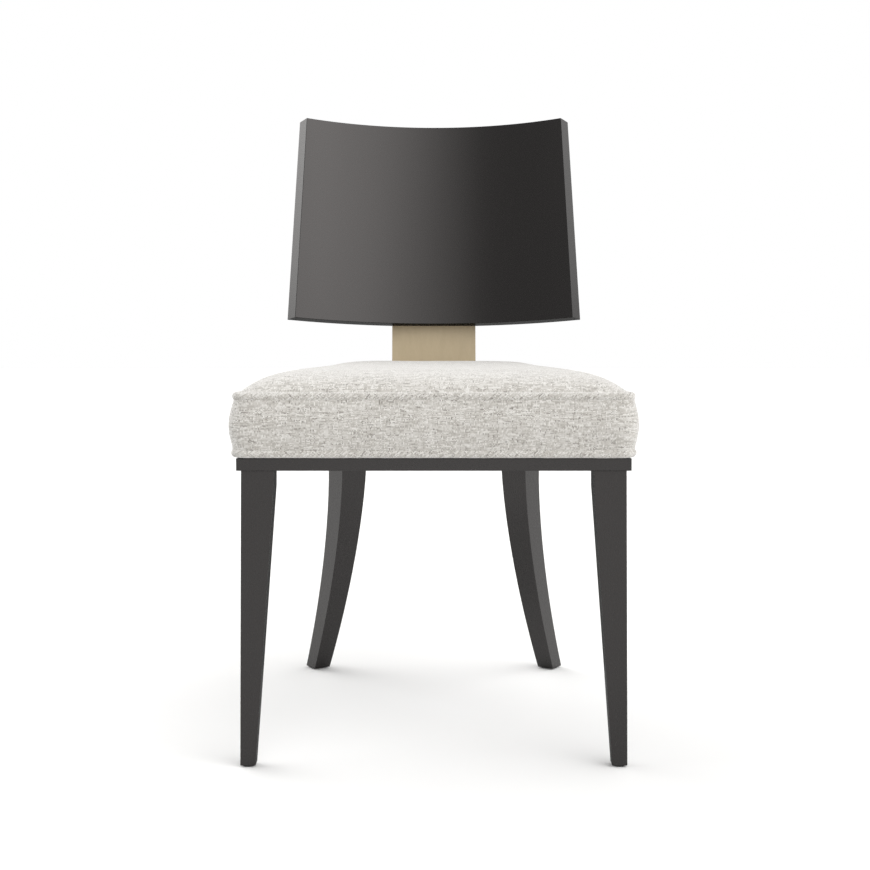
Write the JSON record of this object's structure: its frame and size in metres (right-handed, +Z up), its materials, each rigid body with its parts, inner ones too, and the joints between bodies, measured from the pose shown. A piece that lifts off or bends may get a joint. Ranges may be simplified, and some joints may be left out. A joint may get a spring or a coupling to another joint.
{
  "type": "klismos dining chair",
  "caption": "Side chair with a curved leaning back panel on one flat splat, upholstered trapezoid seat, tapered front legs and swept rear legs.",
  "frame": {"origin": "middle of the chair's bounding box, on the floor", "axes": "X runs across the chair and the sitter's left is +X, the sitter faces -Y, Z is up"},
  "size_m": [0.5242, 0.5946, 0.8955],
  "materials": {
    "charcoal_lacquer": "dark charcoal satin lacquer on hardwood",
    "champagne_lacquer": "champagne metallic satin lacquer on hardwood",
    "upholstery": "heathered slub weave in ivory, beige and grey",
    "foam": "upholstery foam with wadding, hidden",
    "webbing": "woven strap, hidden",
    "dust_cloth": "black non-woven cloth",
    "beech": "bare beech, hidden",
    "steel": "zinc plated steel, hidden",
    "nylon": "dark nylon"
  },
  "bodies": {
    "root": {"front_leg_left": "charcoal_lacquer", "front_leg_right": "charcoal_lacquer", "rear_leg_left": "charcoal_lacquer", "rear_leg_right": "charcoal_lacquer", "base_rail_front": "charcoal_lacquer", "base_rail_left": "charcoal_lacquer", "base_rail_back": "charcoal_lacquer", "base_rail_right": "charcoal_lacquer", "back_panel": "charcoal_lacquer", "back_splat": "champagne_lacquer", "seat_cover": "upholstery", "seat_welt": "upholstery", "seat_top_welt": "upholstery", "seat_foam": "foam", "edge_pad_front": "foam", "edge_pad_left": "foam", "edge_pad_right": "foam", "edge_pad_back_left": "foam", "edge_pad_back_right": "foam", "webbing_length_1": "webbing", "webbing_length_2": "webbing", "webbing_length_3": "webbing", "webbing_length_4": "webbing", "webbing_cross_1": "webbing", "webbing_cross_2": "webbing", "webbing_cross_3": "webbing", "dust_cover": "dust_cloth", "seat_rail_front": "beech", "seat_rail_left": "beech", "seat_rail_right": "beech", "seat_rail_back": "beech", "corner_block_front_left": "beech", "corner_block_front_right": "beech", "corner_block_rear_left": "beech", "corner_block_rear_right": "beech", "panel_dowel_1_left": "beech", "panel_dowel_1_right": "beech", "panel_dowel_2_left": "beech", "panel_dowel_2_right": "beech", "hanger_bolt_front_left": "steel", "hanger_bolt_front_right": "steel", "hanger_bolt_rear_left": "steel", "hanger_bolt_rear_right": "steel", "bolt_washer_front_left": "steel", "bolt_washer_front_right": "steel", "bolt_washer_rear_left": "steel", "bolt_washer_rear_right": "steel", "bolt_nut_front_left": "steel", "bolt_nut_front_right": "steel", "bolt_nut_rear_left": "steel", "bolt_nut_rear_right": "steel", "splat_bolt_1_left": "steel", "splat_bolt_1_right": "steel", "splat_bolt_2_left": "steel", "splat_bolt_2_right": "steel", "glide_front_left": "nylon", "glide_front_right": "nylon", "glide_rear_left": "nylon", "glide_rear_right": "nylon"}
  },
  "joints": []
}
